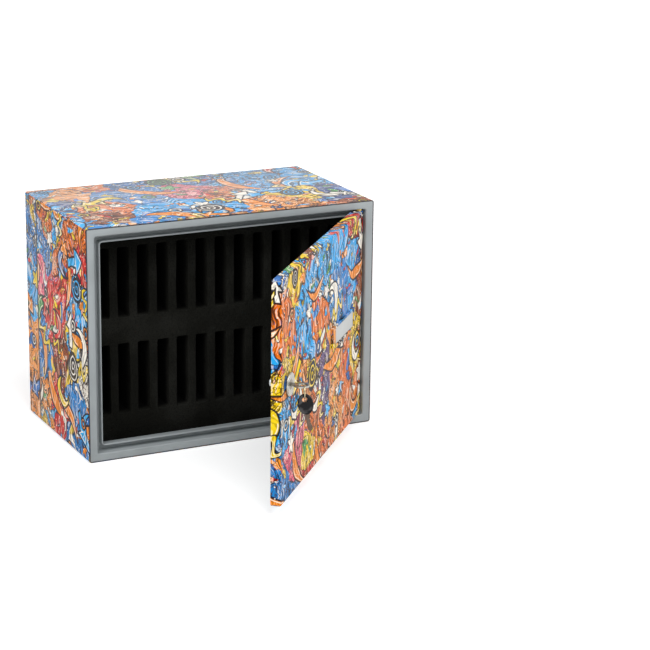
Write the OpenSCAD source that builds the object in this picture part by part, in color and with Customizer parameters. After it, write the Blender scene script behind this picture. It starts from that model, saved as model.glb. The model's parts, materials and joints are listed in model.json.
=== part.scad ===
// Cell phone locker box: a sheet steel cabinet with two rows of phone slots in a foam insert.
// Its door turns on two hidden pins and shuts with a cam lock that holds a key, and a spare
// key hangs from the first on a small ring. The door stands open, as far as door_open says.
// Origin: middle of the underside. X to the right, Y to the back, Z up.

/* [Casing] */
// Width of the casing over its walls
case_w = 380; // [370:1:440]
// Height of the casing over its walls
case_h = 290; // [282:1:360]
// Depth of the casing from its front edge to its rear edge
case_d = 215; // [190:1:260]
// Thickness of the casing's steel
case_t = 1.5; // [1:0.1:2]
// Outer radius of the casing's folded corners
case_r = 3; // [2.5:0.1:6]
// Depth by which the rear panel stands in from the rear edge
rear_recess = 8; // [4:0.5:14]
// Thickness of the rear panel
rear_t = 1; // [0.8:0.1:1.5]

/* [Front frame] */
// Width of the frame's face on the left and right
face_side = 9.5; // [8:0.5:16]
// Width of the frame's face at the top and bottom
face_end = 9; // [8:0.5:14]
// Thickness of the frame's steel
frame_t = 1.2; // [0.8:0.1:1.5]
// Radius of the rolled edge round the opening
frame_bend = 1.7; // [1.6:0.1:2.4]
// Corner radius of the opening
opening_r = 3; // [2:0.5:6]
// Depth of the flange that lies against the casing's walls
flange_d = 17; // [10:1:24]
// Width of the channel between the opening and the lip
channel_w = 7; // [7:0.5:10]
// Thickness of the hemmed lip
lip_t = 2; // [1.5:0.1:3]
// Outer corner radius of the lip
lip_r = 5; // [4:0.5:8]
// Distance of the lip's front edge behind the front plane
lip_back = 6; // [4:0.5:9]

/* [Foam insert] */
// Distance of the foam's face behind the front plane
foam_back = 40; // [30:1:55]
// Number of slots in a row
slot_count = 13; // [4:1:13]
// Width of a slot, which takes the thickness of a phone
slot_w = 15; // [9:0.5:18]
// Distance from one slot to the next
slot_pitch = 25.65; // [22:0.05:27]
// Height of a slot, which takes the width of a phone
slot_h = 88; // [70:1:96]
// Height of the foam under the lower row
foam_base_h = 42.5; // [25:0.5:55]
// Height of the foam between the rows
foam_shelf_h = 33.5; // [15:0.5:45]
// Thickness of the foam sheet behind the slots
foam_sheet_t = 8; // [4:0.5:15]
// Clearance of the foam from the side walls and the top wall
foam_fit = 0.3; // [0.1:0.1:1]

/* [Door] */
// Gap round the closed door
door_gap = 2; // [1.9:0.1:3]
// Depth of the door's folded tray
door_d = 12; // [10:0.5:13]
// Thickness of the door's steel
door_t = 1; // [0.8:0.1:1.4]
// Radius of the fold round the door's face
door_bend = 2; // [1.6:0.1:3]
// Corner radius of the door's face inside the fold
door_r = 2; // [1:0.5:6]
// Angle at which the door stands open
door_open = 48; // [0:1:95]

/* [Hinge] */
// Distance of the hinge axis from the door's edge
hinge_in = 6; // [5.5:0.1:8]
// Distance of the hinge axis behind the door's face
hinge_back = 5; // [4.8:0.1:5.2]
// Diameter of the hinge pins
pin_d = 5; // [3:0.1:5.6]
// Length of each pin outside the door
pin_out = 7; // [4:0.5:8]
// Outer diameter of the bushes
bush_d = 7; // [6:0.1:7.4]
// Diameter of the bushes' flanges
bush_flange_d = 9; // [8:0.1:9.6]
// Length of the bushes above their flanges
bush_l = 5.5; // [3:0.5:6]
// Radial clearance of a pin in its bush
pin_fit = 0.05; // [0.02:0.01:0.1]
// Play of the door between the two flanges, at each end
thrust_fit = 0.2; // [0.1:0.05:0.5]
// Clearance of the turning door from the channel
swing_fit = 0.5; // [0.3:0.1:1]
// Length of the brackets that hold the pins
bracket_l = 24; // [14:1:40]
// Width of the brackets' plates
bracket_w = 16; // [8:1:30]

/* [Lock] */
// Distance of the lock's axis from the door's free edge
lock_in = 30; // [24:0.5:36]
// Height of the lock's axis above the middle of the door
lock_up = 5; // [-10:0.5:20]
// Diameter of the lock's rosette
rosette_d = 28; // [24:0.5:34]
// Height of the rosette over the door's face
rosette_h = 3.2; // [2.6:0.1:5]
// Diameter of the lock's barrel
barrel_d = 18; // [16:0.5:19]
// Width of the barrel across its two flats
barrel_flats = 16; // [14.5:0.5:16]
// Clearance of the barrel in the door's hole
barrel_fit = 0.2; // [0.1:0.05:0.4]
// Width of the lock nut across its flats
nut_af = 24; // [22:0.5:30]
// Thickness of the lock nut
nut_t = 4; // [2.5:0.5:6]
// Diameter of the turning plug
plug_d = 12; // [10:0.5:13]
// Radial clearance of the plug in the barrel
plug_fit = 0.05; // [0.02:0.01:0.1]
// Depth of the plug's face below the rosette's rim
plug_sunk = 0.6; // [0.2:0.1:1.2]
// Width of the square that drives the cam
drive_w = 6; // [5:0.5:7]
// Clearance round the drive square
drive_fit = 0.05; // [0.02:0.01:0.15]
// Length of the cam from the lock's axis to its tip
cam_l = 32; // [26:0.5:36]
// Width of the cam
cam_w = 16; // [12:0.5:18]
// Thickness of the cam
cam_t = 2; // [1.5:0.1:3]
// Clearance of the cam behind the frame
cam_fit = 0.5; // [0.3:0.1:1.5]
// Diameter of the cam's screw
screw_d = 4; // [3:0.5:4]
// Thickness of the wall between the keyway and the screw's hole
plug_web = 0.7; // [0.5:0.1:1.2]

/* [Keys] */
// Thickness of the keys
key_t = 2; // [1.5:0.1:2.2]
// Width of the keys' blades
key_w = 5.5; // [5:0.5:7]
// Clearance of a key in the keyway
key_fit = 0.15; // [0.1:0.05:0.3]
// Length of the key's blade inside the plug
blade_l = 15; // [12:0.5:16]
// Diameter of the key's round bow
bow_d = 18; // [17:0.5:22]
// Distance from the door's face to the end of the bow
bow_out = 24; // [23:0.5:30]
// Diameter of the hole in the bow
bow_hole_d = 10; // [9.6:0.1:11]
// Width of the bow's rim at its outer end
bow_rim = 2.5; // [2:0.1:2.8]
// Mean radius of the key ring
ring_r = 7.4; // [7:0.1:10]
// Thickness of the key ring's wire
ring_t = 1.4; // [1:0.1:1.6]
// Clearance of the ring over the bow
ring_fit = 0.6; // [0.5:0.1:0.8]
// Clearance of the ring in the plastic head's hole
head_fit = 0.5; // [0.4:0.05:1]
// Angle round the bow's hole, from its outer end, at which the ring hangs
ring_at = -60; // [-75:1:-30]
// Angle by which the ring is turned from the line across the bow's rim
ring_yaw = -10; // [-18:1:0]
// Width of the spare key's plastic head
head_w = 18; // [15:0.5:24]
// Height of the spare key's plastic head
head_h = 25; // [22:0.5:32]
// Thickness of the spare key's plastic head
head_t = 3.6; // [3:0.1:4]
// Diameter of the hole in the plastic head
head_hole_d = 6.4; // [6:0.1:7.5]
// Length of the spare key's blade outside its head
spare_l = 20; // [14:0.5:26]
// Angle by which the spare key is turned from the ring
spare_yaw = 5; // [-10:1:10]
// Angle by which the spare key leans as it hangs
spare_lean = 11; // [0:1:20]

/* [Label] */
// Width of the label holder
holder_w = 100; // [92:1:120]
// Height of the label holder
holder_h = 28; // [26:1:40]
// Thickness of the label holder
holder_t = 2.4; // [1.6:0.1:4]
// Width of the label holder's window
window_w = 84; // [60:1:86]
// Height of the label holder's window
window_h = 21; // [14:1:22]
// Width of the holder's margin on the hinge side of the window
window_edge = 3; // [2:0.5:5]
// Thickness of the card in the window
card_t = 1.4; // [0.4:0.1:1.5]
// Corner radius of the label holder and of its window
label_r = 1.5; // [0.5:0.5:3]
// Clearance of the card in the window
card_fit = 0.3; // [0.1:0.1:0.6]
// Distance of the label holder's middle from the door's hinge edge
label_in = 95; // [75:1:130]
// Height of the label holder's middle above the middle of the door
label_up = 5.5; // [-20:0.5:40]

/* [Hidden] */
$fn = 48;

// Room that a cutting shape takes past the face it cuts
over = 1;

front_y = -case_d / 2;
mid_z = case_h / 2;
inner_w = case_w - 2 * case_t;
inner_h = case_h - 2 * case_t;
inner_r = case_r - case_t;

// Front frame
opening_w = inner_w - 2 * face_side;
opening_h = inner_h - 2 * face_end;
// The door's rear edge sweeps a circle of this radius round the hinge axis
sweep_r = norm([hinge_in, door_d - hinge_back]);
channel_d = hinge_back + sweep_r + swing_fit;
lip_w = opening_w - 2 * channel_w;
lip_h = opening_h - 2 * channel_w;

// Foam insert
foam_y = front_y + foam_back;
rear_y = case_d / 2 - rear_recess;
slot_d = rear_y - foam_sheet_t - foam_y;
foam_w = inner_w - 2 * foam_fit;
row_w = (slot_count - 1) * slot_pitch + slot_w;
end_w = (foam_w - row_w) / 2;
divider_w = slot_pitch - slot_w;
lower_z = case_t + foam_base_h;
shelf_z = lower_z + slot_h;
upper_z = shelf_z + foam_shelf_h;
top_z = upper_z + slot_h;
foam_top_h = case_h - case_t - foam_fit - top_z;

// Door and hinge
door_w = opening_w - 2 * door_gap;
door_h = opening_h - 2 * door_gap;
hinge_x = door_w / 2 - hinge_in;
hinge_y = front_y + hinge_back;
bush_flange_t = door_gap - thrust_fit;
knuckle_r = hinge_back - door_t;
// The bracket's plate stops this far short of the pin
bracket_fit = 0.1;
bracket_t = hinge_back - door_t - pin_d / 2 - bracket_fit;

// Lock
lock_x = -door_w / 2 + lock_in;
cam_back = channel_d + frame_t + cam_fit;
// The plug's shoulder stands this far out of the barrel, so that the cam turns free
shoulder_fit = 0.2;
barrel_l = cam_back - shoulder_fit;
plug_face = rosette_h - plug_sunk;
// Radius of the rosette's rounded edge, the width of the flat land inside it, and of the flat round the plug
rosette_bend = rosette_h / 2;
rosette_land = 1.6;
dish_flat = 2;
keyway_z = plug_face - blade_l - 2 * key_fit;
screw_l = cam_back + cam_t + keyway_z - plug_web;
// Size of the bevels at the cam's tip
cam_tip = 3;
washer_d = 10;
washer_t = 0.8;
screw_head_d = 8.4;
screw_head_h = 2.6;
cross_w = 1;
cross_l = 4.4;
cross_d = 1.2;

// Keys
// The key's shoulder stops this far from the plug
shoulder_gap = 0.4;
key_shoulder = plug_face + shoulder_gap;
key_tip = plug_face - blade_l;
neck_w = 8;
bow_z = bow_out - bow_d / 2;
// The neck ends inside the bow's circle
neck_end = bow_z - bow_d / 2 + 2;
bow_hole_z = bow_out - bow_rim - bow_hole_d / 2;
// Distance from the hole's middle to the middle of the bow's rim, at the ring
hole_shift = bow_hole_z - bow_z;
rim_edge = sqrt(pow(bow_d / 2, 2) - pow(hole_shift * sin(ring_at), 2)) - hole_shift * cos(ring_at);
rim_mid = (bow_hole_d / 2 + rim_edge) / 2;
ring_drop = ring_r - ring_t / 2 - ring_fit - key_t / 2;
spare_drop = ring_drop + ring_r;
// Depths of the cuts along a key's blade, from its shoulder to its tip
key_cuts = [1.2, 2.0, 0.8, 1.6, 1.0];
cut_pitch = 2.2;
cut_start = 3;
tip_l = 2;
// Half width of a cut at its bottom, and at the blade's edge
cut_floor = 0.3;
cut_mouth = 1;
// The ring's wire lies this far above the middle of the head's hole
head_hang = (head_hole_d - ring_t) / 2 - head_fit;
// Plastic between the head's hole and its top
head_top = 3.6;
head_chamfer = 0.8;
head_mid = head_hole_d / 2 + head_top - head_h / 2;
head_low = head_mid - head_h / 2;
// Length of the blade inside the head
spare_root = 8;

// A rectangle with round corners, about its middle
module rounded_rect(w, h, r) {
    square([w - 2 * r, h], center = true);
    square([w, h - 2 * r], center = true);
    for (x = [-1, 1], y = [-1, 1])
        translate([x * (w / 2 - r), y * (h / 2 - r)]) circle(r);
}

// Extrudes a front view back from the front plane, over depths start to start + depth
module from_front(start, depth) {
    translate([0, front_y + start + depth, mid_z]) rotate([90, 0, 0]) linear_extrude(depth) children();
}

// Carries a section round a rectangle with round corners. The section's x runs outwards
// from the rectangle and its y towards the front.
module swept_round(w, h, r) {
    for (side = [0 : 3]) {
        run = (side % 2 == 0 ? h : w) - 2 * r;
        out = (side % 2 == 0 ? w : h) / 2;
        rotate(90 * side) {
            translate([out, run / 2, 0]) rotate([90, 0, 0]) linear_extrude(run) children();
            translate([out - r, run / 2, 0]) rotate_extrude(angle = 90) translate([r, 0]) children();
        }
    }
}

// Puts a front view's shape, which faces +Z, on the front plane
module on_front(x = 0, up = 0) {
    translate([x, front_y, mid_z + up]) rotate([90, 0, 0]) children();
}

// Turns what is drawn for the closed door to where the door stands
module with_door() {
    translate([hinge_x, hinge_y, 0]) rotate(door_open) translate([-hinge_x, -hinge_y, 0]) children();
}

// Puts a part on the lock's axis: its +Z points out of the door and its +Y up
module at_lock() {
    with_door() on_front(lock_x, lock_up) children();
}

// Puts a part at the top of the hinge, or mirrors it to the bottom. Its Z is 0 at the opening's edge.
module at_hinge(top) {
    translate([hinge_x, hinge_y, mid_z]) mirror([0, 0, top ? 0 : 1]) translate([0, 0, opening_h / 2]) children();
}

// Steel sleeve of the cabinet
module casing_shell() {
    color("#4f8fc0") from_front(0, case_d) difference() {
        rounded_rect(case_w, case_h, case_r);
        rounded_rect(inner_w, inner_h, inner_r);
    }
}

// Rear panel, with flanges that turn back to the casing's rear edge
module rear_panel() {
    color("#4f8fc0") {
        from_front(case_d - rear_recess, rear_t) rounded_rect(inner_w, inner_h, inner_r);
        from_front(case_d - rear_recess + rear_t, rear_recess - rear_t) difference() {
            rounded_rect(inner_w, inner_h, inner_r);
            rounded_rect(inner_w - 2 * rear_t, inner_h - 2 * rear_t, inner_r / 2);
        }
    }
}

// Section of the frame's rolled edge and of the channel wall behind it
module frame_edge_section() {
    translate([frame_bend, -frame_bend]) intersection() {
        difference() {
            circle(frame_bend);
            circle(frame_bend - frame_t);
        }
        translate([-frame_bend, 0]) square(frame_bend);
    }
    translate([0, -channel_d - frame_t]) square([frame_t, channel_d + frame_t - frame_bend]);
}

// Section of the hemmed lip
module lip_section() {
    translate([-lip_t / 2, -lip_back - lip_t / 2]) circle(lip_t / 2);
    translate([-lip_t, -channel_d]) square([lip_t, channel_d - lip_back - lip_t / 2]);
}

// Hemmed lip round the bay. It leaves the hinge side free, where the door's edge swings in.
module frame_lip() {
    lip_end = hinge_x - sweep_r - swing_fit;
    difference() {
        on_front() swept_round(lip_w, lip_h, lip_r) lip_section();
        translate([lip_end, front_y - over, 0]) cube([case_w, channel_d + over, case_h]);
    }
}

// Folded frame: a face, a channel that takes the door's edge, and the lip
module front_frame() {
    color("#c3ced3") difference() {
        union() {
            from_front(0, flange_d) difference() {
                rounded_rect(inner_w, inner_h, inner_r);
                rounded_rect(inner_w - 2 * frame_t, inner_h - 2 * frame_t, inner_r / 2);
            }
            from_front(0, frame_t) difference() {
                rounded_rect(inner_w, inner_h, inner_r);
                rounded_rect(opening_w + 2 * frame_bend, opening_h + 2 * frame_bend, opening_r + frame_bend);
            }
            on_front() swept_round(opening_w, opening_h, opening_r) frame_edge_section();
            from_front(channel_d, frame_t) difference() {
                rounded_rect(opening_w + 2 * frame_t, opening_h + 2 * frame_t, opening_r + frame_t);
                rounded_rect(lip_w - 2 * lip_t, lip_h - 2 * lip_t, lip_r - lip_t);
            }
            frame_lip();
        }
        for (top = [true, false])
            at_hinge(top) translate([0, 0, -over]) cylinder(d = bush_d, h = frame_t + 2 * over);
    }
}

// Foam across the cabinet from one height to another, cut to the casing's outline
module foam_board(bottom, height, start = foam_back, depth = slot_d) {
    from_front(start, depth) intersection() {
        translate([0, -foam_fit / 2]) rounded_rect(foam_w, inner_h - foam_fit, inner_r);
        translate([-foam_w / 2, bottom - mid_z]) square([foam_w, height]);
    }
}

module foam_base() {
    color("#2e2e31") foam_board(case_t, foam_base_h);
}

module foam_shelf() {
    color("#2e2e31") foam_board(shelf_z, foam_shelf_h);
}

module foam_top() {
    color("#2e2e31") foam_board(top_z, foam_top_h);
}

// The upright foam strips of one row, with the wider ones at its ends
module foam_dividers(bottom) {
    for (side = [0, 1])
        mirror([side, 0, 0]) translate([row_w / 2, foam_y, bottom]) cube([end_w, slot_d, slot_h]);
    for (i = [1 : 1 : slot_count - 1])
        translate([-row_w / 2 + i * slot_pitch - divider_w, foam_y, bottom])
            cube([divider_w, slot_d, slot_h]);
}

module foam_dividers_lower() {
    color("#333336") foam_dividers(lower_z);
}

module foam_dividers_upper() {
    color("#333336") foam_dividers(upper_z);
}

// Foam sheet that closes the slots at the back
module foam_backing() {
    color("#232326") foam_board(case_t, inner_h - foam_fit, foam_back + slot_d, foam_sheet_t);
}

// Flanged bush in the frame: the flange fills the gap beside the door
module hinge_bush() {
    difference() {
        union() {
            translate([0, 0, -bush_flange_t]) cylinder(d = bush_flange_d, h = bush_flange_t);
            cylinder(d = bush_d, h = bush_l);
        }
        translate([0, 0, -bush_flange_t - over])
            cylinder(r = pin_d / 2 + pin_fit, h = bush_flange_t + bush_l + 2 * over);
    }
}

module hinge_bush_top() {
    color("#b59a4c") at_hinge(true) hinge_bush();
}

module hinge_bush_bottom() {
    color("#b59a4c") at_hinge(false) hinge_bush();
}

// Section of the fold round the door and of its turned edge
module door_edge_section() {
    translate([0, -door_bend]) intersection() {
        difference() {
            circle(door_bend);
            circle(door_bend - door_t);
        }
        square(door_bend);
    }
    translate([door_bend - door_t, -door_d]) square([door_t, door_d - door_bend]);
}

// Folded tray of the door, with the lock's hole and the pins' holes
module door_panel() {
    flat_w = door_w - 2 * door_bend;
    flat_h = door_h - 2 * door_bend;
    color("#e0843c") with_door() difference() {
        union() {
            from_front(0, door_t) rounded_rect(flat_w, flat_h, door_r);
            on_front() swept_round(flat_w, flat_h, door_r) door_edge_section();
        }
        on_front(lock_x, lock_up) translate([0, 0, -door_t - over]) linear_extrude(door_t + 2 * over)
            barrel_outline(barrel_fit);
        for (top = [true, false])
            at_hinge(top) translate([0, 0, -door_gap - door_t - over])
                cylinder(d = pin_d, h = door_t + 2 * over);
    }
}

// Bracket inside the door: a plate on the door's face and a knuckle that holds the pin
module hinge_bracket() {
    top = -door_gap - door_bend;
    difference() {
        union() {
            translate([0, 0, top - bracket_l]) cylinder(r = knuckle_r, h = bracket_l);
            translate([-bracket_w, -knuckle_r, top - bracket_l]) cube([bracket_w, bracket_t, bracket_l]);
        }
        translate([0, 0, top - bracket_l - over]) cylinder(d = pin_d, h = bracket_l + 2 * over);
    }
}

module hinge_bracket_top() {
    color("#9aa0a4") with_door() at_hinge(true) hinge_bracket();
}

module hinge_bracket_bottom() {
    color("#9aa0a4") with_door() at_hinge(false) hinge_bracket();
}

// Pin from the bottom of its bracket out into the bush
module hinge_pin() {
    pin_l = bracket_l + door_bend + pin_out;
    translate([0, 0, pin_out - door_gap - pin_l]) cylinder(d = pin_d, h = pin_l);
}

module hinge_pin_top() {
    color("#c9ccd0") with_door() at_hinge(true) hinge_pin();
}

module hinge_pin_bottom() {
    color("#c9ccd0") with_door() at_hinge(false) hinge_pin();
}

// Puts a part on the door's face at the label holder's middle
module at_label() {
    with_door() on_front(door_w / 2 - label_in, label_up) children();
}

module label_window(fit) {
    translate([(holder_w - window_w) / 2 - window_edge, 0])
        rounded_rect(window_w - 2 * fit, window_h - 2 * fit, label_r);
}

// Raised plate with a window for the card
module label_holder() {
    color("#d8973f") at_label() linear_extrude(holder_t) difference() {
        rounded_rect(holder_w, holder_h, label_r);
        label_window(0);
    }
}

module label_card() {
    color("#e4e4df") at_label() linear_extrude(card_t) label_window(card_fit);
}

// Front view of the threaded barrel: a circle with two flats
module barrel_outline(fit) {
    intersection() {
        circle(d = barrel_d + 2 * fit);
        square([barrel_flats + 2 * fit, barrel_d + 4 * fit], center = true);
    }
}

// Section of the rosette: a rounded edge, a flat land and a dish that falls to the plug
module rosette_section() {
    round_x = rosette_d / 2 - rosette_bend;
    translate([round_x, rosette_h - rosette_bend]) circle(rosette_bend);
    polygon([
        [0, 0], [rosette_d / 2, 0], [rosette_d / 2, rosette_h - rosette_bend], [round_x, rosette_h],
        [round_x - rosette_land, rosette_h], [plug_d / 2 + dish_flat, plug_face], [0, plug_face],
    ]);
}

// Lock body: a dished rosette in front and a barrel through the door
module lock_housing() {
    color("#d4d3cb") at_lock() difference() {
        union() {
            rotate_extrude() rosette_section();
            translate([0, 0, -barrel_l]) linear_extrude(barrel_l) barrel_outline(0);
        }
        translate([0, 0, -barrel_l - over])
            cylinder(r = plug_d / 2 + plug_fit, h = barrel_l + rosette_h + 2 * over);
    }
}

// Nut that clamps the barrel from inside the door
module lock_nut() {
    color("#b9bcbd") at_lock() translate([0, 0, -door_t - nut_t]) difference() {
        cylinder(d = nut_af / cos(30), h = nut_t, $fn = 6);
        translate([0, 0, -over]) cylinder(d = barrel_d, h = nut_t + 2 * over);
    }
}

// Turning plug with its keyway, and the square that drives the cam
module lock_plug() {
    color("#a7a59a") at_lock() difference() {
        union() {
            translate([0, 0, -cam_back]) cylinder(d = plug_d, h = cam_back + plug_face);
            translate([-drive_w / 2, -drive_w / 2, -cam_back - cam_t]) cube([drive_w, drive_w, cam_t]);
        }
        translate([-key_w / 2 - key_fit, -key_t / 2 - key_fit, keyway_z])
            cube([key_w + 2 * key_fit, key_t + 2 * key_fit, plug_face - keyway_z + over]);
        translate([0, 0, -cam_back - cam_t - over]) cylinder(d = screw_d, h = screw_l + over);
    }
}

// Cam behind the door: it points up when open, and turns behind the frame to lock
module lock_cam() {
    color("#b9bcbd") at_lock() translate([0, 0, -cam_back - cam_t]) linear_extrude(cam_t) difference() {
        union() {
            circle(d = cam_w);
            polygon([
                [-cam_w / 2, 0], [cam_w / 2, 0], [cam_w / 2, cam_l - cam_tip],
                [cam_w / 2 - cam_tip, cam_l], [cam_tip - cam_w / 2, cam_l], [-cam_w / 2, cam_l - cam_tip],
            ]);
        }
        square(drive_w + 2 * drive_fit, center = true);
    }
}

module cam_washer() {
    color("#c9ccd0") at_lock() translate([0, 0, -cam_back - cam_t - washer_t]) difference() {
        cylinder(d = washer_d, h = washer_t);
        translate([0, 0, -over]) cylinder(d = screw_d, h = washer_t + 2 * over);
    }
}

module cam_screw() {
    head_z = -cam_back - cam_t - washer_t;
    color("#c9ccd0") at_lock() difference() {
        union() {
            translate([0, 0, head_z]) cylinder(d = screw_d, h = washer_t + screw_l);
            translate([0, 0, head_z - screw_head_h]) cylinder(d = screw_head_d, h = screw_head_h);
        }
        for (turn = [0, 90])
            rotate(turn) translate([-cross_l / 2, -cross_w / 2, head_z - screw_head_h - over])
                cube([cross_l, cross_w, cross_d + over]);
    }
}

// The row of cuts along one edge of a blade that points to -Y
module blade_cuts() {
    for (i = [0 : len(key_cuts) - 1])
        translate([key_w / 2, -cut_start - i * cut_pitch])
            polygon([
                [over, -cut_mouth - over], [over, cut_mouth + over],
                [-key_cuts[i], cut_floor], [-key_cuts[i], -cut_floor],
            ]);
}

// Key in the lock, with its bow level
module key() {
    color("#d9d9d6") at_lock() rotate([90, 0, 0]) translate([0, 0, -key_t / 2]) linear_extrude(key_t)
        difference() {
            union() {
                polygon([
                    [0, key_tip], [key_w / 2, key_tip + tip_l], [key_w / 2, key_shoulder],
                    [neck_w / 2, key_shoulder], [neck_w / 2, neck_end], [-neck_w / 2, neck_end],
                    [-neck_w / 2, key_shoulder], [-key_w / 2, key_shoulder], [-key_w / 2, key_tip + tip_l],
                ]);
                translate([0, bow_z]) circle(d = bow_d);
            }
            translate([0, bow_hole_z]) circle(d = bow_hole_d);
            translate([0, plug_face]) blade_cuts();
        }
}

// Puts a part at the middle of the bow's rim, turned from the line across it
module at_rim(yaw) {
    at_lock() translate([0, 0, bow_hole_z]) rotate([0, ring_at, 0])
        translate([0, 0, rim_mid]) rotate([0, yaw, 0]) children();
}

// Ring through the bow's hole, hanging over its rim
module key_ring() {
    color("#c8c2b0") at_rim(ring_yaw) translate([0, -ring_drop, 0]) rotate([0, 90, 0])
        rotate_extrude() translate([ring_r, 0]) circle(d = ring_t);
}

// Puts a part where the spare key hangs on the ring: the middle of the hole in its head
module at_spare() {
    at_rim(ring_yaw + spare_yaw) translate([0, -spare_drop, 0]) rotate(spare_lean)
        translate([0, -head_hang, 0]) children();
}

module head_outline(inset) {
    translate([0, head_mid]) scale([head_w / 2 - inset, head_h / 2 - inset]) circle(1, $fn = 32);
}

// Oval plastic head, moulded round the spare key's blade
module spare_key_head() {
    color("#1b1b1e") at_spare() difference() {
        hull() {
            translate([0, 0, -head_t / 2]) linear_extrude(head_t) head_outline(head_chamfer);
            translate([0, 0, -head_t / 2 + head_chamfer]) linear_extrude(head_t - 2 * head_chamfer)
                head_outline(0);
        }
        translate([0, 0, -head_t / 2 - over]) cylinder(d = head_hole_d, h = head_t + 2 * over);
        translate([-key_w / 2, head_low - over, -key_t / 2]) cube([key_w, over + spare_root, key_t]);
    }
}

module spare_key_blade() {
    color("#b9b4a8") at_spare() translate([0, head_low, -key_t / 2]) linear_extrude(key_t) difference() {
        polygon([
            [-key_w / 2, spare_root], [key_w / 2, spare_root], [key_w / 2, tip_l - spare_l],
            [0, -spare_l], [-key_w / 2, tip_l - spare_l],
        ]);
        blade_cuts();
    }
}

casing_shell();
rear_panel();
front_frame();
foam_base();
foam_shelf();
foam_top();
foam_dividers_lower();
foam_dividers_upper();
foam_backing();
hinge_bush_top();
hinge_bush_bottom();
door_panel();
hinge_bracket_top();
hinge_bracket_bottom();
hinge_pin_top();
hinge_pin_bottom();
label_holder();
label_card();
lock_housing();
lock_nut();
lock_plug();
lock_cam();
cam_washer();
cam_screw();
key();
key_ring();
spare_key_blade();
spare_key_head();
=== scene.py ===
# Cell phone locker box: the looks of a printed steel cabinet with a foam insert, a cam lock and its keys
import bpy, bmesh, json, math
from mathutils import Matrix, Vector, noise

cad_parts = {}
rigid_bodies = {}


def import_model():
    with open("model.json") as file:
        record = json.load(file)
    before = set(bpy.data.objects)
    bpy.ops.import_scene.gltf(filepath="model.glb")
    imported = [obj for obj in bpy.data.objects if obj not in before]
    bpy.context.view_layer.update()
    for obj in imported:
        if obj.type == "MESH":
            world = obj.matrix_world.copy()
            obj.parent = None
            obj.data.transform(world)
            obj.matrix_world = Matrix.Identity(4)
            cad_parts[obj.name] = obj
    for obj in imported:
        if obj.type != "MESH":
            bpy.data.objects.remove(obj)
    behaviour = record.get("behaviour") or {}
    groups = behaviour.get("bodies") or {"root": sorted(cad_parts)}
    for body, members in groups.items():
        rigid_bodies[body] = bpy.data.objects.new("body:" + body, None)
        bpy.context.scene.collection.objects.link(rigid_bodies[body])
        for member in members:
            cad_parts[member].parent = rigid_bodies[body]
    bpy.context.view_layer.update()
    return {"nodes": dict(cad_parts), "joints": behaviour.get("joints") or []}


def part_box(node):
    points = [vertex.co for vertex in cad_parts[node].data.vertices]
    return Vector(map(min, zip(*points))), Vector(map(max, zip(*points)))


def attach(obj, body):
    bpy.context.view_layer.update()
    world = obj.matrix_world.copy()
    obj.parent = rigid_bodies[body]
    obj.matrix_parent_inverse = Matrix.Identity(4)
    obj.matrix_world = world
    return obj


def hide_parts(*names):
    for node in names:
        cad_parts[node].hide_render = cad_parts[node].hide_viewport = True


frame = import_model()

nodes = frame["nodes"]
mm = 0.001

# Where the casing and the open door stand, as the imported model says
lowCasing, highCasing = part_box("casing_shell")
frontY = lowCasing.y
doorJoint = next(joint for joint in frame["joints"] if joint["name"] == "door_swing")
doorAxis = Vector((*doorJoint["pos_m"][:2], 0))
doorAngle = math.radians(-doorJoint["range_deg"][0])
shutTurn = Matrix.Rotation(-doorAngle, 3, "Z")
print("frame loaded:", len(nodes), "nodes")


# A value in a node tree, so that a formula is written as a formula
class Wire:
    def __init__(self, tree, socket):
        self.tree, self.socket = tree, socket

    def calc(self, operation, *others):
        return calc(self.tree, operation, self, *others)

    def __add__(self, other):
        return self.calc("ADD", other)

    def __sub__(self, other):
        return self.calc("SUBTRACT", other)

    def __mul__(self, other):
        return self.calc("MULTIPLY", other)

    def __truediv__(self, other):
        return self.calc("DIVIDE", other)

    def __lt__(self, other):
        return self.calc("LESS_THAN", other)

    def __gt__(self, other):
        return self.calc("GREATER_THAN", other)

    def least(self, other):
        return self.calc("MINIMUM", other)

    def most(self, other):
        return self.calc("MAXIMUM", other)

    def __rsub__(self, other):
        return calc(self.tree, "SUBTRACT", other, self)

    def __neg__(self):
        return self.calc("MULTIPLY", -1)

    def __abs__(self):
        return self.calc("ABSOLUTE")

    def zigzag(self):
        return self.calc("PINGPONG", 0.5) * 2

    __radd__, __rmul__ = __add__, __mul__


def bare(value):
    return value.socket if isinstance(value, Wire) else value


def plug(tree, value, target):
    value = bare(value)
    if isinstance(value, bpy.types.NodeSocket):
        tree.links.new(value, target)
    else:
        target.default_value = value


def feed(tree, node, inputs):
    for name, value in inputs.items():
        plug(tree, value, node.inputs[name])


def add(tree, kind, inputs=None, output=0, **settings):
    node = tree.nodes.new("ShaderNode" + kind)
    for name, value in settings.items():
        setattr(node, name, value)
    feed(tree, node, inputs or {})
    return node.outputs[output]


def calc(tree, operation, *values):
    return Wire(tree, add(tree, "Math", dict(enumerate(values)), operation=operation))


def shifted(tree, vector, offset):
    return add(tree, "VectorMath", {0: vector, 1: offset}, operation="ADD")


def scaled(tree, vector, factor):
    return add(tree, "VectorMath", {0: vector, "Scale": factor}, operation="SCALE")


def turned(tree, vector, angle):
    return add(tree, "VectorRotate", {"Vector": vector, "Angle": angle}, rotation_type="Z_AXIS")


def join(tree, x=0.0, y=0.0, z=0.0):
    return add(tree, "CombineXYZ", {0: x, 1: y, 2: z})


def split(tree, vector):
    node = add(tree, "SeparateXYZ", {0: vector}).node
    return [Wire(tree, socket) for socket in node.outputs]


def mixed(tree, factor, first, second, mode="MIX"):
    return add(tree, "Mix", {0: factor, 6: first, 7: second}, 2, data_type="RGBA", blend_type=mode)


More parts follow.
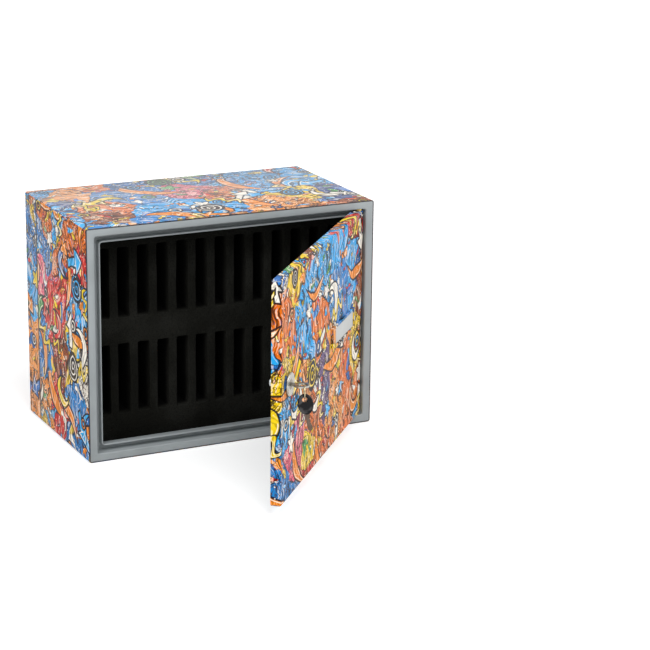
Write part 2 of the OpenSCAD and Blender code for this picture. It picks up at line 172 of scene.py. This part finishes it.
def eased(tree, value, low, high, start=0.0, end=1.0):
    inputs = {"Value": value, "From Min": low, "From Max": high, "To Min": start, "To Max": end}
    return Wire(tree, add(tree, "MapRange", inputs, interpolation_type="SMOOTHSTEP"))


def grain(tree, vector, size, detail=2.0):
    return Wire(tree, add(tree, "TexNoise", {"Vector": vector, "Scale": 1 / size, "Detail": detail}))


def drift(tree, vector, size, reach):
    # A slow random offset of a point, up to about reach
    cloud = add(tree, "TexNoise", {"Vector": vector, "Scale": 1 / size, "Detail": 1.0}, 1)
    return scaled(tree, shifted(tree, cloud, (-0.5, -0.5, -0.5)), reach * 2)


def cells(tree, vector, size, randomness=1.0, feature="F1"):
    inputs = {"Vector": vector, "Scale": 1 / size, "Randomness": randomness}
    return add(tree, "TexVoronoi", inputs, voronoi_dimensions="2D", feature=feature).node.outputs


def shade(text):
    # A colour written as on a paint card, as linear values
    parts = [int(text[i:i + 2], 16) / 255 for i in (0, 2, 4)]
    return (*[c / 12.92 if c <= 0.04045 else ((c + 0.055) / 1.055) ** 2.4 for c in parts], 1.0)


def picked(tree, value, colors):
    # One of several colours by a value from 0 to 1, each over its share
    socket = add(tree, "ValToRGB", {0: value})
    band = socket.node.color_ramp
    band.interpolation = "CONSTANT"
    while len(band.elements) < len(colors):
        band.elements.new(0.5)
    total, place = sum(share for _, share in colors), 0.0
    for element, (text, share) in zip(band.elements, colors):
        element.position, element.color = place, shade(text)
        place += share / total
    return socket


def newGroup(name, inputs, outputs):
    tree = bpy.data.node_groups.new(name, "ShaderNodeTree")
    for way, sockets in (("INPUT", inputs), ("OUTPUT", outputs)):
        for label, kind in sockets.items():
            tree.interface.new_socket(label, in_out=way, socket_type="NodeSocket" + kind)
    return tree, tree.nodes.new("NodeGroupInput").outputs, tree.nodes.new("NodeGroupOutput").inputs


def useGroup(tree, group, inputs):
    node = tree.nodes.new("ShaderNodeGroup")
    node.node_tree = group
    feed(tree, node, inputs)
    return node.outputs


def bump(tree, height, distance):
    return add(tree, "Bump", {"Height": height, "Distance": distance})


# Motifs of the print, each as a distance to its outline in mm, below 0 inside
def starShape(x, y, size):
    point = (y.calc("ARCTAN2", x) * (5 / math.tau)).zigzag()    # five points
    return (x * x + y * y).calc("SQRT") - size * (0.42 + 0.55 * point)


def ringShape(x, y, size):
    return abs((x * x + y * y).calc("SQRT") - size * 0.7) - size * 0.18


def arrowShape(x, y, size):
    shaft = (abs(x) - size * 0.22).most(abs(y + size * 0.35) - size * 0.6)
    head = (abs(x) * 0.8 + y * 0.6 - size * 0.58).most(-y + size * 0.1)
    return shaft.least(head)


def waveShape(x, y, size):
    wave = (x / size * 7.0).calc("SINE")
    return (abs(y - wave * size * 0.28) - size * 0.17).most(abs(x) - size)


def crescentShape(x, y, size):
    bite = x - size * 0.42
    return ((x * x + y * y).calc("SQRT") - size).most(size * 0.82 - (bite * bite + y * y).calc("SQRT"))


def swirlShape(x, y, size):
    radius = (x * x + y * y).calc("SQRT")
    turn = radius / (size * 0.4) - y.calc("ARCTAN2", x) / math.tau
    return ((abs(turn.calc("FRACT") - 0.5) - 0.25) * size * 0.4).most(radius - size)


def sweepShape(x, y, size):
    # A long tapering arc of paint
    along = x / size
    return abs(y + x * along * 0.45) - size * 0.14 * (1.15 - along * along)


# Printed film: a generic painted design of patches, brush strokes, ink lines and simple motifs.
# Sizes are in mm. A pair holds the two levels between which an effect comes or goes.
muralLook = {
    "patches": [("DE6C0E", 0.21), ("F0963A", 0.14), ("94450F", 0.05), ("24A2E4", 0.17), ("1F7FC6", 0.10),
                ("1E4282", 0.04), ("64507E", 0.02), ("D42A22", 0.10), ("E4607A", 0.03), ("F0C80C", 0.09),
                ("EAE4D8", 0.05)],
    "accents": [("F4EEE4", 0.20), ("F4D014", 0.17), ("2070C0", 0.10), ("34AEEC", 0.18), ("D82A20", 0.14),
                ("F08E22", 0.17), ("4E9A50", 0.04)],
    "ink": "120C18", "cream": "FCEFDA", "umber": "3A1606", "deep": 0.14, "pale": 0.5,
    "patchSize": 66.0, "wander": 20.0, "wanderSize": 38.0, "ripple": 2.6, "rippleSize": 7.0,
    "lean": 0.6, "strokeWidth": 3.0, "strokeLength": 24.0, "fineWidth": 1.8, "fineLength": 12.0,
    "deepStroke": (0.46, 0.41), "paleStroke": (0.55, 0.60), "accentStroke": (0.64, 0.68),
    "umberStroke": (0.38, 0.33), "edgeInk": (0.008, 0.022), "edgeInked": (0.42, 0.5),
    "splashSize": 17.0, "splashLevel": (0.585, 0.60), "splashRim": (0.010, 0.018),
    "splashCell": 22.0, "splashShift": (31.0, 17.0, 0.0),
    "curlSize": 10.0, "curlLines": 5.0, "curlWidth": (0.07, 0.14), "curlBend": 3.0, "curlBendSize": 9.0,
    "motifBend": 5.0, "motifBendSize": 30.0, "motifLoose": 0.8, "outline": (1.0, 1.6), "glint": (0.4, 0.9),
    "glintDepth": 2.2, "speckSize": 8.0, "speckShare": 0.25, "speck": (0.08, 0.13),
}
motifLook = [    # shape, spacing of its cells and size in mm, share of cells that have it, seed, own colour
    (sweepShape, 92.0, 46.0, 0.62, 71.3, "F08A1C"),
    (crescentShape, 84.0, 21.0, 0.55, 3.1, None),
    (arrowShape, 97.0, 20.0, 0.5, 11.7, None),
    (waveShape, 88.0, 21.0, 0.5, 23.9, "F0CE18"),
    (starShape, 70.0, 12.0, 0.4, 31.3, None),
    (ringShape, 58.0, 8.0, 0.4, 47.9, None),
    (swirlShape, 112.0, 14.0, 0.4, 58.1, None),
]


def paintGround(tree, place, look):
    # Patches with splashes, strokes and ink; gives the colour and the broad strokes
    loose = shifted(tree, place, drift(tree, place, look["wanderSize"], look["wander"]))
    loose = shifted(tree, loose, drift(tree, place, look["rippleSize"], look["ripple"]))
    ink, cream, umber = (shade(look[name]) for name in ("ink", "cream", "umber"))

    # Patches of paint, each brushed its own way
    patch = cells(tree, loose, look["patchSize"])
    share, lean, kind = split(tree, patch["Color"])
    base = picked(tree, share, look["patches"])
    x, y, _ = split(tree, turned(tree, loose, (lean - 0.5) * look["lean"]))
    broad = grain(tree, join(tree, x / look["strokeWidth"], y / look["strokeLength"]), 1.0, 2.0)
    fine = grain(tree, join(tree, x / look["fineWidth"], y / look["fineLength"], 7.0), 1.0, 2.0)

    # Splashes of another colour, each with a dark rim
    cloud = grain(tree, loose, look["splashSize"], 1.0)
    second = cells(tree, shifted(tree, loose, look["splashShift"]), look["splashCell"])
    accent = picked(tree, split(tree, second["Color"])[0], look["accents"])
    color = mixed(tree, eased(tree, cloud, *look["splashLevel"]), base, accent)
    rim = eased(tree, abs(cloud - look["splashLevel"][0]), *look["splashRim"], 1.0, 0.0)

    # Strokes, light and dark
    deep = mixed(tree, 1.0, color, (*[look["deep"]] * 3, 1), "MULTIPLY")
    pale = mixed(tree, look["pale"], color, cream)
    color = mixed(tree, eased(tree, broad, *look["deepStroke"]), color, deep)
    color = mixed(tree, eased(tree, broad, *look["paleStroke"]), color, pale)
    color = mixed(tree, eased(tree, fine, *look["accentStroke"]) * 0.6, color, accent)
    color = mixed(tree, eased(tree, fine, *look["umberStroke"]) * 0.8, color, umber)
    color = mixed(tree, rim * 0.85, color, ink)

    # Curled ink lines on some patches, and ink along the edges of others
    bent = shifted(tree, place, drift(tree, place, look["curlBendSize"], look["curlBend"]))
    line = abs((grain(tree, bent, look["curlSize"], 1.0) * look["curlLines"]).calc("FRACT") - 0.5)
    curled = eased(tree, line, *look["curlWidth"], 1.0, 0.0) * (kind > 0.5)
    color = mixed(tree, curled * 0.85, color, umber)
    edge = Wire(tree, cells(tree, loose, look["patchSize"], 1.0, "DISTANCE_TO_EDGE")[0])
    inked = eased(tree, edge, *look["edgeInk"], 1.0, 0.0) * eased(tree, cloud, *look["edgeInked"])
    return mixed(tree, inked * 0.9, color, ink), broad


def paintMotif(tree, place, look, motif, color, broad):
    # One kind of motif over the ground, with a fill, a dark outline and a highlight
    shape, spacing, size, share, seed, own = motif
    ink, cream = shade(look["ink"]), shade(look["cream"])
    bent = shifted(tree, place, drift(tree, place, look["motifBendSize"], look["motifBend"]))
    moved = shifted(tree, bent, (seed, seed * 1.7, 0.0))
    cell = cells(tree, moved, spacing, look["motifLoose"])
    spin, chance, tone = split(tree, cell["Color"])
    local = add(tree, "VectorMath", {0: moved, 1: cell["Position"]}, operation="SUBTRACT")
    x, y, _ = split(tree, turned(tree, local, spin * math.tau))
    distance = shape(x, y, (tone * 0.5 + 0.75) * size)
    shown = chance < share
    fill = shade(own) if own else picked(tree, (tone * 3.7).calc("FRACT"), look["accents"])
    fill = mixed(tree, eased(tree, broad, 0.52, 0.40) * 0.6, fill, mixed(tree, 0.75, fill, ink))
    fill = mixed(tree, eased(tree, broad, 0.56, 0.68) * 0.6, fill, cream)
    glint = eased(tree, abs(distance + look["glintDepth"]), *look["glint"], 1.0, 0.0)
    glint = glint * eased(tree, y - x, 0.0, 4.0)
    fill = mixed(tree, glint * 0.85, fill, cream)
    body = eased(tree, distance, -0.25, 0.15, 1.0, 0.0) * shown
    line = eased(tree, abs(distance - 0.6), *look["outline"], 1.0, 0.0) * shown
    return mixed(tree, line * 0.95, mixed(tree, body, color, fill), ink)


def makeMural():
    look = muralLook
    tree, inlet, outlet = newGroup("muralPrint", {"Vector": "Vector"}, {"Color": "Color"})
    place = scaled(tree, inlet["Vector"], 1 / mm)
    color, broad = paintGround(tree, place, look)
    for motif in motifLook:
        color = paintMotif(tree, place, look, motif, color, broad)
    specks = cells(tree, place, look["speckSize"])
    dot = eased(tree, Wire(tree, specks["Distance"]), *look["speck"], 1.0, 0.0)
    shown = split(tree, specks["Color"])[0] > 1 - look["speckShare"]
    plug(tree, mixed(tree, dot * shown, color, shade(look["cream"])), outlet["Color"])
    return tree


mural = makeMural()


def makeWear():
    # Smudges and grain that several finishes share
    tree, inlet, outlet = newGroup("fineWear", {"Vector": "Vector", "Scale": "Float"},
                                   {"Smudge": "Float", "Grain": "Float"})
    place = scaled(tree, inlet["Vector"], inlet["Scale"])
    plug(tree, grain(tree, place, 1.0, 4.0), outlet["Smudge"])
    plug(tree, grain(tree, place, 0.05, 2.0), outlet["Grain"])
    return tree


wear = makeWear()


def newMaterial(name, **settings):
    material = bpy.data.materials.new(name)
    material.use_nodes = True
    tree = material.node_tree
    shader = tree.nodes["Principled BSDF"]
    for label, value in settings.items():
        shader.inputs[label.replace("_", " ")].default_value = value
    return material, tree, shader.inputs, add(tree, "TexCoord", output="Object")


def closedPlace(tree, place):
    # Object coordinates turned back to where the door is shut
    return add(tree, "Mapping", {"Vector": place, "Location": doorAxis - shutTurn @ doorAxis,
                                 "Rotation": (0, 0, -doorAngle)})


def shutBox(node):
    # Box of a door node as it is when the door is shut
    points = [doorAxis + shutTurn @ (vertex.co - doorAxis) for vertex in nodes[node].data.vertices]
    return [Vector([pick(point[i] for point in points) for i in range(3)]) for pick in (min, max)]


# The printed film on each panel. A wrap gives where a point lies on the film, whether it is behind the
# film, how far it is darkened at a seam or along the casing's front rim, where the dark line is partly
# painted shade, and how glossy the film is there.
filmLook = {
    "roughness": 0.45, "sheen": 0.62, "inner": "A3ABAE", "dust": "8B9396", "gap": "241C20",
    "sheet": 0.9 * mm, "fold": 2 * mm, "wave": 45 * mm, "waveDepth": 0.35 * mm, "wear": 14.0,
    # The seam is a dark joint in the film; the dark line at the front rim is partly the sheet's cut edge
    # and partly painted shade where the casing meets the frame
    "seam": 40 * mm, "seamWidth": 2.6 * mm, "rim": 1.8 * mm, "rimWander": 4 * mm, "rimPatch": 7 * mm,
    # Which stretch of the print each panel shows, in metres
    "side": (0.31, 0.05), "top": (0.02, 0.04), "rear": (0.53, 0.41), "door": (0.83, 0.23), "pastSeam": 0.11,
}


def casingWrap(tree, place):
    look = filmLook
    x, y, z = split(tree, place)
    onSide = abs(x) > highCasing.x - 0.6 * look["sheet"]
    toSeam = y - (highCasing.y - look["seam"])
    across = y + (toSeam > 0) * look["pastSeam"] + (x > 0) * highCasing.x
    upright = join(tree, across + look["side"][0], z + look["side"][1])
    flat = join(tree, y + look["top"][0], x + look["top"][1])
    wrap = add(tree, "Mix", {0: onSide, 4: flat, 5: upright}, 1, data_type="VECTOR")
    hidden = (highCasing.x - abs(x)).least(highCasing.z - z).least(z - lowCasing.z) > look["sheet"]
    seam = eased(tree, abs(toSeam), look["seamWidth"] / 2, look["seamWidth"], 1.0, 0.0)
    # Painted shade, in part: the casing's front rim is darkened where it meets the frame, along a slightly
    # wandering edge
    toRim = y - frontY + (grain(tree, place, look["rimPatch"]) - 0.5) * look["rimWander"]
    rim = eased(tree, toRim, look["rim"] * 0.7, look["rim"], 1.0, 0.0)
    return wrap, hidden, (seam * onSide).most(rim), (1 - onSide) * look["sheen"]


def trayWrap(tree, point, box, depth, origin):
    # The film laid flat over a tray's face, its folded edges opened out beside it
    x, _, z = point
    middle, half = (box[0] + box[1]) / 2, (box[1] - box[0]) / 2
    toSide, toEnd = half.x - abs(x - middle.x), half.z - abs(z - middle.z)
    across = x + (x - middle.x).calc("SIGN") * depth
    up = z + (z - middle.z).calc("SIGN") * depth * (toEnd < filmLook["fold"])
    hidden = depth.least(toSide).least(toEnd) > filmLook["sheet"]
    return join(tree, across + origin[0], up + origin[1]), hidden


def rearWrap(tree, place):
    # The rear tray opens to the back, so that its film is on the inner side too
    point, box = split(tree, place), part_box("rear_panel")
    wrap, _ = trayWrap(tree, point, box, point[1] - box[0].y, filmLook["rear"])
    return wrap, 0.0, 0.0, 0.0


def doorWrap(tree, place):
    point = split(tree, closedPlace(tree, place))
    wrap, hidden = trayWrap(tree, point, shutBox("door_panel"), point[1] - frontY, filmLook["door"])
    return wrap, hidden, 0.0, 0.0


def filmMaterial(name, wrapper):
    # The film has a soft gloss, more on the casing's top, and follows the sheet's slight waves
    look = filmLook
    material, tree, inputs, place = newMaterial(name, Coat_Roughness=0.2, IOR=1.2)
    wrap, hidden, seam, sheen = wrapper(tree, place)
    picture = useGroup(tree, mural, {"Vector": wrap})
    skin = useGroup(tree, wear, {"Vector": place, "Scale": look["wear"]})
    smudge = Wire(tree, skin["Smudge"])
    enamel = mixed(tree, smudge, shade(look["inner"]), shade(look["dust"]))
    color = mixed(tree, hidden, picture["Color"], enamel)
    waves = grain(tree, place, look["wave"], 1.0) * 0.6 + Wire(tree, skin["Grain"]) * 0.03
    # Seams and, on the casing, the front rim are darkened; at the rim this is partly painted shade
    plug(tree, mixed(tree, seam * 0.85, color, shade(look["gap"])), inputs["Base Color"])
    plug(tree, sheen, inputs["Coat Weight"])
    plug(tree, smudge * 0.2 + (look["roughness"] - 0.1), inputs["Roughness"])
    plug(tree, bump(tree, waves - seam * 0.2, look["waveDepth"]), inputs["Normal"])
    return material


# Blue-grey enamel of the frame
enamelLook = {"color": "989EA0", "dust": "868B8C", "roughness": 0.42, "wear": 22.0}


def enamelMaterial():
    look = enamelLook
    material, tree, inputs, place = newMaterial("frameEnamel", Specular_IOR_Level=0.45)
    skin = useGroup(tree, wear, {"Vector": place, "Scale": look["wear"]})
    smudge = Wire(tree, skin["Smudge"])
    color = mixed(tree, eased(tree, smudge, 0.42, 0.72) * 0.5, shade(look["color"]), shade(look["dust"]))
    plug(tree, color, inputs["Base Color"])
    plug(tree, smudge * 0.14 + (look["roughness"] - 0.07), inputs["Roughness"])
    plug(tree, bump(tree, Wire(tree, skin["Grain"]), 0.06 * mm), inputs["Normal"])
    return material


# Charcoal foam with fine pores; its slot walls darken with painted shade the deeper they lie behind the
# front face
foamLook = {
    # deep is the colour of the pores and also of the painted shade in the slots
    "color": "161613", "pale": "20201D", "deep": "050505",
    # The last two sizes below are the depths behind the front face over which the slots' painted shade
    # comes in
    "pore": 1.6 * mm, "cloud": 40 * mm, "slotShadeStart": 4 * mm, "slotShadeEnd": 15 * mm,
    "cornerRadius": 2 * mm, "rimRadius": 1.1 * mm, "outerRadius": 1.5 * mm, "outerCorner": 3 * mm,
    "turns": 4, "rimTurns": 3, "rows": 8, "depths": (0.03, 0.15, 0.45, 1),
    "sway": 0.8 * mm, "swaySize": 24 * mm, "swayApart": (7.3, 3.1, 5.9), "sharp": 50,
}
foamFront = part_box("foam_shelf")[0].y


def foamMaterial():
    look = foamLook
    material, tree, inputs, place = newMaterial("charcoalFoam", Roughness=1.0, Specular_IOR_Level=0.05)
    cloudy = grain(tree, place, look["cloud"], 3.0)
    pores = grain(tree, place, look["pore"], 2.0)
    color = mixed(tree, eased(tree, cloudy, 0.35, 0.7), shade(look["color"]), shade(look["pale"]))
    color = mixed(tree, eased(tree, pores, 0.55, 0.3) * 0.6, color, shade(look["deep"]))
    # Painted shade: the slot walls get darker the deeper they lie behind the foam's front face
    depth = split(tree, place)[1] - foamFront
    paintedSlotShade = eased(tree, depth, look["slotShadeStart"], look["slotShadeEnd"]) * 0.9
    plug(tree, mixed(tree, paintedSlotShade, color, shade(look["deep"])), inputs["Base Color"])
    plug(tree, bump(tree, pores + cloudy * 2.0, 0.3 * mm), inputs["Normal"])
    return material


# Metals, plated, brushed or rolled
metalLook = {"brush": 0.35 * mm, "cloud": 6 * mm, "stained": 0.3}


def metalMaterial(name, color, roughness, stain=None):
    look = metalLook
    material, tree, inputs, place = newMaterial(name, Metallic=1.0)
    brushed = grain(tree, place, look["brush"])
    cloudy = grain(tree, place, look["cloud"], 3.0)
    base = shade(color)
    if stain:
        base = mixed(tree, eased(tree, cloudy, 0.45, 0.7) * look["stained"], base, shade(stain))
    plug(tree, base, inputs["Base Color"])
    plug(tree, brushed * 0.16 + cloudy * 0.12 + (roughness - 0.14), inputs["Roughness"])
    plug(tree, bump(tree, brushed, 0.02 * mm), inputs["Normal"])
    return material


# Black plastic of the spare key's head, polished by handling in places
plasticLook = {"color": "060608", "worn": "101013", "roughness": 0.3, "polish": 9 * mm, "dent": 5 * mm}


def plasticMaterial():
    look = plasticLook
    settings = {"Specular_IOR_Level": 0.15, "Coat_Roughness": 0.12}
    material, tree, inputs, place = newMaterial("blackPlastic", **settings)
    cloudy, fine = grain(tree, place, look["dent"], 3.0), grain(tree, place, 0.5 * mm)
    plug(tree, mixed(tree, cloudy, shade(look["color"]), shade(look["worn"])), inputs["Base Color"])
    plug(tree, eased(tree, grain(tree, place, look["polish"]), 0.5, 0.62), inputs["Coat Weight"])
    plug(tree, cloudy * 0.2 + (look["roughness"] - 0.1), inputs["Roughness"])
    plug(tree, bump(tree, cloudy + fine * 0.05, 0.3 * mm), inputs["Normal"])
    return material


# Plain card in the label holder
cardLook = {"color": "B7B9B8", "pale": "C4C6C5", "roughness": 0.4, "fibre": 0.6 * mm, "cloud": 15 * mm}


def cardMaterial():
    look = cardLook
    material, tree, inputs, place = newMaterial("paperCard", Specular_IOR_Level=0.4)
    fibre = grain(tree, place, look["fibre"], 3.0)
    cloudy = grain(tree, place, look["cloud"])
    plug(tree, mixed(tree, cloudy, shade(look["color"]), shade(look["pale"])), inputs["Base Color"])
    plug(tree, fibre * 0.15 + look["roughness"], inputs["Roughness"])
    plug(tree, bump(tree, fibre, 0.02 * mm), inputs["Normal"])
    return material


# Finish, edge radius in mm and slot of every piece that keeps its node's shape
zincMetal = metalMaterial("zincSteel", "B4B7B8", 0.38, "8E9294")
brass = metalMaterial("bushBrass", "C9A85A", 0.35)
pieceLook = {
    "casing_shell": (filmMaterial("casingFilm", casingWrap), 0.25, "printed_film"),
    "rear_panel": (filmMaterial("rearFilm", rearWrap), 0.2, "printed_film"),
    "door_panel": (filmMaterial("doorFilm", doorWrap), 0.2, "printed_film"),
    "label_holder": (filmMaterial("labelFilm", doorWrap), 0.4, "printed_film"),
    "front_frame": (enamelMaterial(), 0.2, "grey_enamel"),
    "label_card": (cardMaterial(), 0.25, "label_card"),
    "lock_housing": (metalMaterial("rosetteNickel", "A9A69C", 0.27, "6F6B60"), 0.12, "nickel"),
    "lock_plug": (metalMaterial("plugNickel", "8C8478", 0.36, "5F574C"), 0.15, "nickel"),
    "key": (metalMaterial("keyNickel", "ACAAA2", 0.28, "77746A"), 0.25, "key_steel"),
    "key_ring": (metalMaterial("ringSteel", "B4A888", 0.24), 0.0, "key_steel"),
    "spare_key_blade": (metalMaterial("bladeSteel", "64564C", 0.36, "3C3029"), 0.2, "key_steel"),
    "spare_key_head": (plasticMaterial(), 0.45, "black_plastic"),
    "hinge_bush_top": (brass, 0.2, "bush_brass"),
    "hinge_bush_bottom": (brass, 0.2, "bush_brass"),
    "hinge_bracket_top": (zincMetal, 0.3, "zinc_steel"),
    "hinge_bracket_bottom": (zincMetal, 0.3, "zinc_steel"),
    "hinge_pin_top": (zincMetal, 0.3, "zinc_steel"),
    "hinge_pin_bottom": (zincMetal, 0.3, "zinc_steel"),
    "lock_nut": (zincMetal, 0.35, "zinc_steel"),
    "lock_cam": (zincMetal, 0.3, "zinc_steel"),
    "cam_washer": (zincMetal, 0.15, "zinc_steel"),
    "cam_screw": (zincMetal, 0.2, "zinc_steel"),
}
print("finishes made:", len(bpy.data.materials))

# How a copy of a node is finished, with angles in degrees
refineLook = {"weld": 0.001 * mm, "flat": 0.5, "sharp": 40, "segments": 2}


def newObject(name, data):
    thing = bpy.data.objects.new(name, data)
    bpy.context.scene.collection.objects.link(thing)
    return thing


def newMesh(name, shape, material):
    mesh = bpy.data.meshes.new(name)
    shape.to_mesh(mesh)
    shape.free()
    mesh.materials.append(material)
    return mesh


def addPiece(name, shape, material, body, slot, replaced, sharp=refineLook["sharp"]):
    mesh = newMesh(name, shape, material)
    mesh.shade_smooth()
    mesh.set_sharp_from_angle(angle=math.radians(sharp))
    piece = newObject(name, mesh)
    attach(piece, body)
    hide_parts(*replaced)
    return piece


def refine(node, material, radius, slot):
    # A copy of a node with its edges broken and its round faces smooth
    look = refineLook
    flat, least = math.radians(look["flat"]), math.radians(look["sharp"])
    shape = bmesh.new()
    shape.from_mesh(nodes[node].data)
    bmesh.ops.remove_doubles(shape, verts=shape.verts, dist=look["weld"])
    bmesh.ops.dissolve_limit(shape, angle_limit=flat, verts=shape.verts, edges=shape.edges)
    if radius:
        sharp = [edge for edge in shape.edges if edge.is_manifold and edge.calc_face_angle() > least]
        bmesh.ops.bevel(shape, geom=sharp, offset=radius * mm, segments=look["segments"], profile=0.5,
                        affect="EDGES", material=-1, clamp_overlap=True)
    body = nodes[node].parent.name.removeprefix("body:")
    addPiece(node + "_finished", shape, material, body, slot, [node])


for node, (material, radius, slot) in pieceLook.items():
    refine(node, material, radius, slot)
print("refined pieces:", len(pieceLook))


# Foam insert: one slab with its two rows of slots, soft at every edge
def roundedRing(low, high, radius, spread, y):
    # Points round a rectangle with rounded corners, spread outwards; its long sides are divided
    points = []
    reach = radius + spread
    corners = [(high.x, high.z, 1, 1), (low.x, high.z, -1, 1),
               (low.x, low.z, -1, -1), (high.x, low.z, 1, -1)]
    for quarter, (x, z, signX, signZ) in enumerate(corners):
        for step in range(foamLook["turns"] + 1):
            angle = math.pi / 2 * (quarter + step / foamLook["turns"])
            points.append(Vector((x - signX * radius + reach * math.cos(angle), y,
                                  z - signZ * radius + reach * math.sin(angle))))
        if quarter in (0, 2):
            continue
        start, end = points[-1], points[-1].copy()
        end.z = low.z + radius if quarter == 1 else high.z - radius
        points += [start.lerp(end, step / foamLook["rows"]) for step in range(1, foamLook["rows"])]
    return points


def swayed(point):
    # A cut isn't quite straight. Plain noise is the same each run, where a noise vector isn't.
    place, apart = point / foamLook["swaySize"], Vector(foamLook["swayApart"])
    sway = Vector((noise.noise(place), 0, noise.noise(place + apart)))
    return point + sway * foamLook["sway"]


def addRings(shape, rings):
    # Walls between rings that follow one another, and a flat end on the last; gives the first one's edges
    loops = []
    for ring in rings:
        points = [shape.verts.new(point) for point in ring]
        loops.append([shape.edges.new((points[i - 1], points[i])) for i in range(len(points))])
    for near, far in zip(loops, loops[1:]):
        bmesh.ops.bridge_loops(shape, edges=near + far)
    bmesh.ops.edgeloop_fill(shape, edges=loops[-1])
    return loops[0]


def rimSteps(radius):
    # How far a rounded rim spreads at each of its depths
    count = foamLook["rimTurns"]
    angles = [math.pi / 2 * step / count for step in range(count + 1)]
    return [(radius * (1 - math.sin(angle)), radius * (1 - math.cos(angle))) for angle in angles]


def makeFoam():
    look = foamLook
    slotEnd, back = (corner.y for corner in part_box("foam_backing"))
    slotDepth = slotEnd - foamFront
    low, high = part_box("foam_base")[0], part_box("foam_top")[1]
    shape = bmesh.new()
    faceEdges = []
    for node in ("foam_dividers_lower", "foam_dividers_upper"):
        # Each slot lies between two dividers, whose sides are found across the row, without its outer ends
        below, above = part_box(node)
        across = sorted({round(vertex.co.x, 5) for vertex in nodes[node].data.vertices})[1:-1]
        for left, right in zip(across[::2], across[1::2]):
            start, end = Vector((left, 0, below.z)), Vector((right, 0, above.z))
            rings = [roundedRing(start, end, look["cornerRadius"], spread, foamFront + depth)
                     for spread, depth in rimSteps(look["rimRadius"])]
            rings += [roundedRing(start, end, look["cornerRadius"], 0, foamFront + slotDepth * part)
                      for part in look["depths"]]
            faceEdges += addRings(shape, [[swayed(point) for point in ring] for ring in rings])
    rings = [roundedRing(low, high, look["outerCorner"], -spread, foamFront + depth)
             for spread, depth in rimSteps(look["outerRadius"])]
    rings.append(roundedRing(low, high, look["outerCorner"], 0, back))
    faceEdges += addRings(shape, rings)
    bmesh.ops.triangle_fill(shape, use_beauty=True, edges=faceEdges)
    bmesh.ops.recalc_face_normals(shape, faces=shape.faces)
    foam = addPiece("foam_insert", shape, foamMaterial(), "cabinet", "foam",
                    [node for node in nodes if node.startswith("foam_")], look["sharp"])


makeFoam()
print("foam insert made")


# Camera at the photograph's angle
cameraLook = {
    "place": (-1.0595, -2.4616, 0.9158), "turn": (73.515, -0.741, -26.477), "lens": 121.99, "sensor": 36.0,
}


def makeCamera():
    data = bpy.data.cameras.new("camera")
    data.lens, data.sensor_width = cameraLook["lens"], cameraLook["sensor"]
    camera = newObject("camera", data)
    camera.location = cameraLook["place"]
    camera.rotation_euler = [math.radians(angle) for angle in cameraLook["turn"]]
    bpy.context.scene.camera = camera


# Soft studio light on a plain pale floor
stageLook = {
    "floor": 0.90, "span": 14.0, "drop": 0.2 * mm,
    "lift": 0.34, "near": 0.5, "far": 2.0,    # glow of the paper near the box, up to 1 further off
    "ambient": 0.42, "aim": (0, 0, 0.14),
}
lampLook = [    # name, place, size, watts
    ("leftBox", (-2.0, -1.1, 2.6), 1.5, 46.0),
    ("rightBox", (2.0, -1.5, 2.5), 1.5, 38.0),
    ("frontBox", (-0.3, -2.2, 2.7), 1.4, 36.0),
]


def cameraSees(tree, *kinds):
    paths = tree.nodes.new("ShaderNodeLightPath").outputs
    seen = Wire(tree, paths["Is Camera Ray"])
    for kind in kinds:
        seen = seen.most(Wire(tree, paths[kind]))
    return seen


def paperMaterial():
    # Pale paper that keeps the box's shadow and glows to white further off
    look = stageLook
    material = bpy.data.materials.new("floorPaper")
    material.use_nodes = True
    tree = material.node_tree
    tree.nodes.clear()
    away = add(tree, "VectorMath", {0: add(tree, "TexCoord", output="Object")}, 1, operation="LENGTH")
    lift = eased(tree, away, look["near"], look["far"], look["lift"], 1.0)
    paper = add(tree, "BsdfDiffuse", {"Color": (*[look["floor"]] * 3, 1)})
    glow = add(tree, "Emission", {"Strength": cameraSees(tree, "Is Glossy Ray") * lift})
    both = add(tree, "AddShader", {0: paper, 1: glow})
    plug(tree, both, tree.nodes.new("ShaderNodeOutputMaterial").inputs["Surface"])
    return material


def makeFloor():
    shape = bmesh.new()
    bmesh.ops.create_grid(shape, x_segments=1, y_segments=1, size=stageLook["span"])
    bmesh.ops.translate(shape, vec=(0, 0, lowCasing.z - stageLook["drop"]), verts=shape.verts)
    newObject("floor", newMesh("floor", shape, paperMaterial()))


def makeWorld():
    # White where it is seen, and a soft even light on the box
    world = bpy.data.worlds.new("studio")
    world.use_nodes = True
    bpy.context.scene.world = world
    tree, ambient = world.node_tree, stageLook["ambient"]
    inputs = tree.nodes["Background"].inputs
    seen = cameraSees(tree, "Is Transmission Ray", "Is Glossy Ray")
    inputs["Color"].default_value = (1, 1, 1, 1)
    plug(tree, seen * (1 - ambient) + ambient, inputs["Strength"])


def makeLamps():
    for name, place, size, watts in lampLook:
        data = bpy.data.lights.new(name, "AREA")
        data.shape, data.size, data.energy = "DISK", size, watts
        lamp = newObject(name, data)
        lamp.location = place
        lamp.rotation_euler = (Vector(stageLook["aim"]) - Vector(place)).to_track_quat("-Z", "Y").to_euler()


makeCamera()
makeFloor()
makeWorld()
makeLamps()
bpy.context.scene.view_settings.view_transform = "Standard"
print("camera, floor and lamps made")
